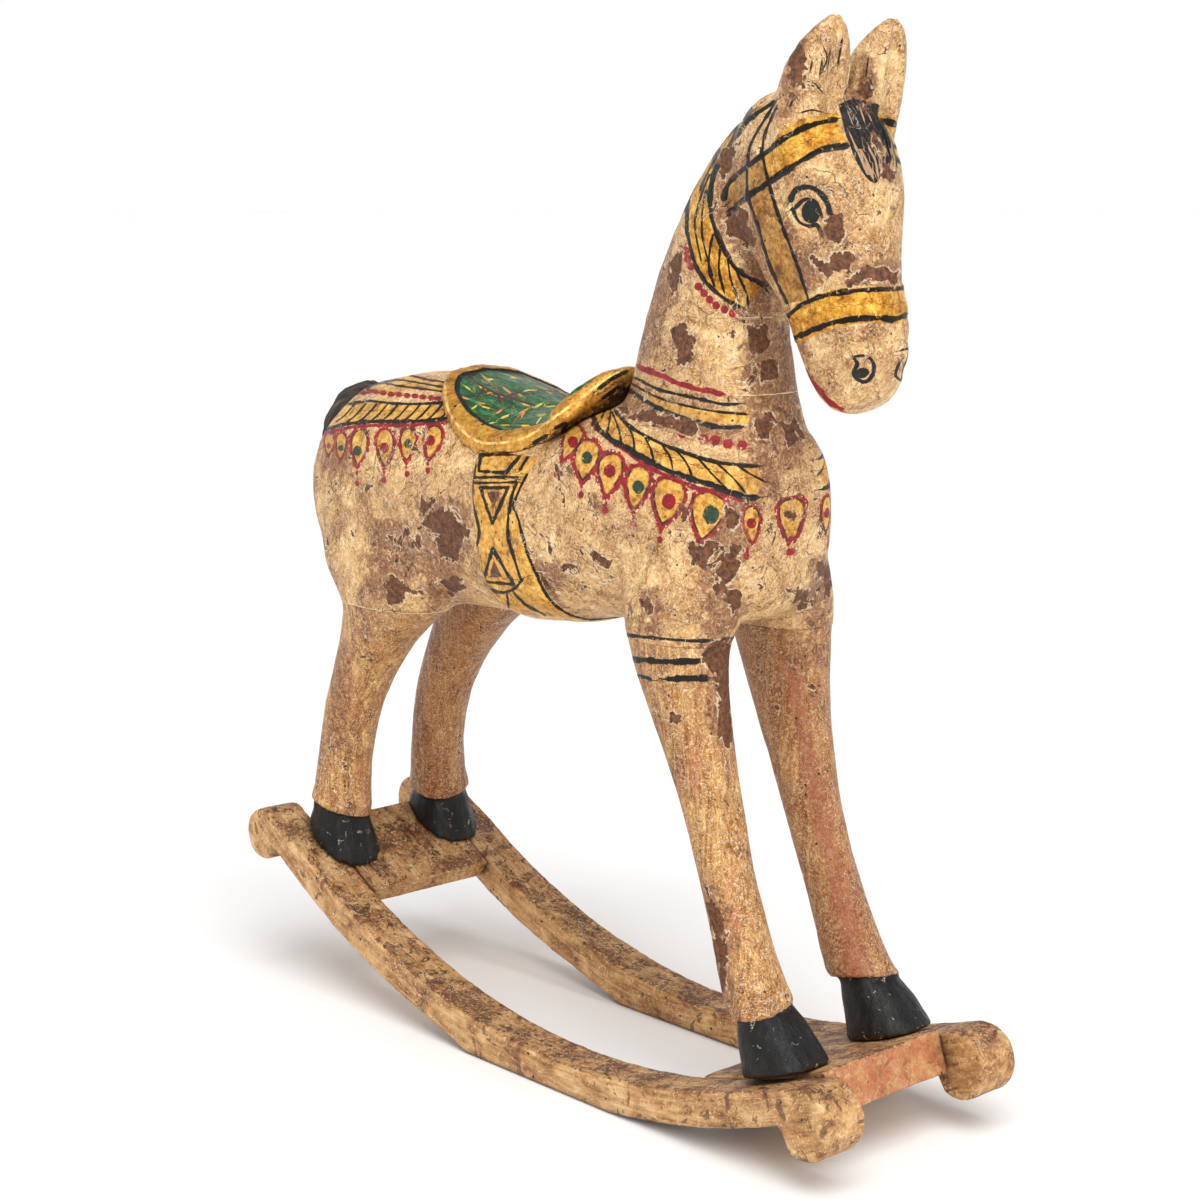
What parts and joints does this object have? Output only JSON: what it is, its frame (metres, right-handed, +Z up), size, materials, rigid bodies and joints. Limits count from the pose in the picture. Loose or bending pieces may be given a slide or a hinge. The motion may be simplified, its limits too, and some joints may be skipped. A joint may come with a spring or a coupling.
{
  "type": "painted wooden rocking-horse statue",
  "caption": "Carved and painted wooden horse with bridle, saddle and tail, glued with its hooves on boards between curved runners.",
  "frame": {"origin": "on the floor, under the middle of the whole length and between the runners", "axes": "+X towards the nose, +Y to the horse's left, +Z up"},
  "size_m": [0.6768, 0.2, 0.7739],
  "materials": {
    "painted_cream": "worn cream paint with painted harness over brown wood",
    "leg_wood": "warm streaked wood tone, half gloss, black hooves",
    "saddle_gold": "green seat with yellow strokes and a gold rim",
    "tail_black": "black paint over carved grain",
    "stand_wood": "bare ochre wood with dark pits and scratches"
  },
  "bodies": {
    "root": {"torso": "painted_cream", "neck": "painted_cream", "head": "painted_cream", "front_leg_right": "leg_wood", "front_leg_left": "leg_wood", "hind_leg_right": "leg_wood", "hind_leg_left": "leg_wood", "saddle": "saddle_gold", "tail": "tail_black", "runner_right": "stand_wood", "runner_left": "stand_wood", "front_board": "stand_wood", "rear_board": "stand_wood"}
  },
  "joints": []
}
